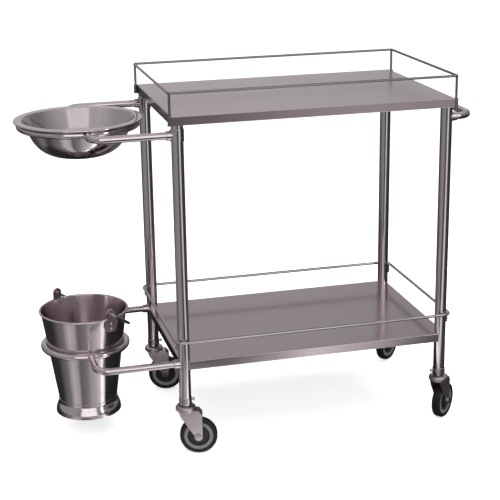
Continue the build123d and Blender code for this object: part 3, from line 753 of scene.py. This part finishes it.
def makeWheels():
    for corner in cornerNames:
        joint = jointOf["roll_" + corner]
        lie = Vector((0, 0, 1)).rotation_difference(Vector(joint["axis"])).to_matrix()
        middle = Vector(joint["pos_m"])
        for part, slot in (("tyre", "tyre_rubber"), ("centre", "wheel_centre")):
            outline = roundedPath(bothSides(wheel[part]), closed=True, stepAngle=15)
            points, faces = spun(outline, wheel["sides"], closed=True)
            placed = [lie @ point + middle for point in points]
            name = "caster_" + part + "_moulding_" + corner
            piece = makePiece(name, placed, faces, "wheel_" + corner, slot)
            if part == "tyre":
                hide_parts("caster_tyre_" + corner)
                continue
            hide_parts("caster_wheel_" + corner)
            piece.data.materials.append(finishes["wheelWebPaintedShade"])
            # faces near the axle take the near-black painted shade
            for face in piece.data.polygons:
                if (face.center - middle).cross(Vector(joint["axis"])).length < wheel["shadedWebRadius"]:
                    face.material_index = 1


makeWheels()
print("wheels moulded")


# welds
weld = {
    "tube": 1.5 * mm,
    "ripple": 0.16,
    "points": 90,
    "collar": 12.2 * mm,        # radius of the collar where an arm meets a leg
}


def turns(count=None):
    count = count or weld["points"]
    return [2 * math.pi * k / count for k in range(count)]


def ringBead(centre, radius, bead, across=Vector((1, 0, 0)), up=Vector((0, 1, 0))):
    loop = [centre + radius * (across * math.cos(t) + up * math.sin(t)) for t in turns()]
    return cord(loop, bead, closed=True, ripple=weld["ripple"])


def saddleOnLeg(leg, height, radius, legRadius, way):
    loop = []
    for t in turns():
        aside = radius * math.cos(t)
        out = math.sqrt(max(legRadius ** 2 - aside ** 2, 0))
        loop.append(Vector((leg.x + way * out, leg.y + aside, height + radius * math.sin(t))))
    return cord(loop, weld["tube"], closed=True, ripple=weld["ripple"])


def saddleOnRing(middle, ringRadius, tube, side):
    loop = []
    for t in turns():
        aside = tube * math.cos(t)
        around = ringRadius + abs(aside)
        loop.append(middle + Vector((aside, side * math.sqrt(around ** 2 - aside ** 2), tube * math.sin(t))))
    return cord(loop, weld["tube"], closed=True, ripple=weld["ripple"])


def makeWelds():
    legs = {corner: middleOf("leg_" + corner) for corner in cornerNames}
    low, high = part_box("leg_front_left")
    legRadius = (high.x - low.x) / 2
    beads = []
    for holder in ("bowl", "bucket"):
        low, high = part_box(holder + "_holder_ring")
        tube = (high.z - low.z) / 2
        middle = (low + high) / 2
        ringRadius = (high.x - low.x) / 2 - tube
        beads += [saddleOnRing(middle, ringRadius, tube, side) for side in (-1, 1)]
        joint = middle + Vector((ringRadius, 0, 0))
        beads.append(ringBead(joint, tube, 0.6 * weld["tube"], up=Vector((0, 0, 1))))
        bandLow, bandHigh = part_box("arm_leg_bands")
        bandRadius = legs["front_left"].x - bandLow.x
        around = bandRadius if holder == "bowl" else legRadius
        for corner in ("front_left", "back_left"):
            beads.append(saddleOnLeg(legs[corner], middle.z, weld["collar"], around, -1))
    for corner in ("front_right", "back_right"):
        beads.append(saddleOnLeg(legs[corner], middleOf("push_handle").z, weld["collar"], legRadius, 1))
    for corner, leg in legs.items():
        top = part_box("leg_" + corner)[1].z
        beads.append(ringBead(Vector((leg.x, leg.y, top - weld["tube"])), legRadius, weld["tube"]))
    makePiece("tube_weld_beads", *joined(beads), "frame", "polished_tube", "weld")


makeWelds()
print("welds laid")


# small parts
small = {
    "seam": 0.7 * mm,
    "cornerInset": 0.9 * mm,
    "cornerBend": 2.5 * mm,
    "seamSteps": 24,
    "solder": 1.1 * mm,
    "wallSeam": 0.45 * mm,
    "seamTurn": 62,             # degrees round the bucket, on its far side
    "postSocket": 5.5 * mm,
    "postRod": 3.25 * mm,
    "postBead": 0.9 * mm,
    "washerInner": 7.3 * mm,
    "washerOuter": 11.0 * mm,
    "washerThick": 1.0 * mm,
    "washerBends": (0.2 * mm, 0.3 * mm),
    "washerSides": 48,
    "cheekOutside": 17.0 * mm,      # from the middle of the wheel to the outside of a fork cheek
}


def makeShelfSeams():
    for shelf in ("upper_shelf", "lower_shelf"):
        low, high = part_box(shelf)
        seams = []
        for x in (low.x + small["cornerInset"], high.x - small["cornerInset"]):
            for y in (low.y + small["cornerInset"], high.y - small["cornerInset"]):
                top, bottom = high.z - small["cornerBend"], low.z + small["seam"]
                steps = small["seamSteps"]
                line = [Vector((x, y, top + (bottom - top) * k / steps)) for k in range(steps + 1)]
                seams.append(cord(line, small["seam"], ripple=weld["ripple"]))
        makePiece(shelf + "_corner_seams", *joined(seams), "frame", "satin_sheet", "weld")


def makeRailPostBeads():
    low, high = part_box("rail_post_sockets")
    inset = small["postSocket"]
    beads = []
    for x in (low.x + inset, high.x - inset):
        for y in (low.y + inset, high.y - inset):
            middle = Vector((x, y, high.z))
            beads.append(ringBead(middle, small["postRod"] + small["postBead"] / 2, small["postBead"]))
    makePiece("rail_post_beads", *joined(beads), "frame", "rail_rod", "weld")


def makeBucketSeams():
    low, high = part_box("bucket_shell")
    middle = (low + high) / 2
    rim = (high.x - low.x) / 2 - 2 * bucket["bead"] + bucket["sheet"]
    slope = (rim - bucket["base"]) / (high.z - low.z - bucket["bead"])
    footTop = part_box("bucket_foot")[1].z
    wallAtFoot = bucket["base"] + slope * (footTop - low.z)
    solder = ringBead(Vector((middle.x, middle.y, footTop)), wallAtFoot, small["solder"])
    turn = math.radians(small["seamTurn"])
    line = []
    for k in range(small["seamSteps"] + 1):
        z = footTop + (high.z - 2.2 * bucket["bead"] - footTop) * k / small["seamSteps"]
        away = bucket["base"] + slope * (z - low.z)
        line.append(Vector((middle.x + away * math.cos(turn), middle.y + away * math.sin(turn), z)))
    seam = cord(line, small["wallSeam"], sides=6)
    makePiece("bucket_seams", *joined([solder, seam]), "bucket", "bucket_steel", "weld")


def makeWashers():
    inner, outer, thick = small["washerInner"], small["washerOuter"], small["washerThick"]
    under, over = small["washerBends"]
    corners = [(inner, 0, under), (outer, 0, under), (outer, thick, over), (inner, thick, over)]
    outline = roundedPath(corners, closed=True)
    points, faces = spun(outline, small["washerSides"], closed=True)
    for corner in cornerNames:
        joint = jointOf["roll_" + corner]
        middle = Vector(joint["pos_m"])
        pair = []
        for side in (-1, 1):
            way = Vector(joint["axis"]) * side
            lie = Vector((0, 0, 1)).rotation_difference(way).to_matrix()
            pair.append(([lie @ point + middle + way * small["cheekOutside"] for point in points], faces))
        makePiece("axle_washers_" + corner, *joined(pair), "swivel_" + corner, "bright_fittings")


makeShelfSeams()
makeRailPostBeads()
makeBucketSeams()
makeWashers()
print("seams, beads and washers on")
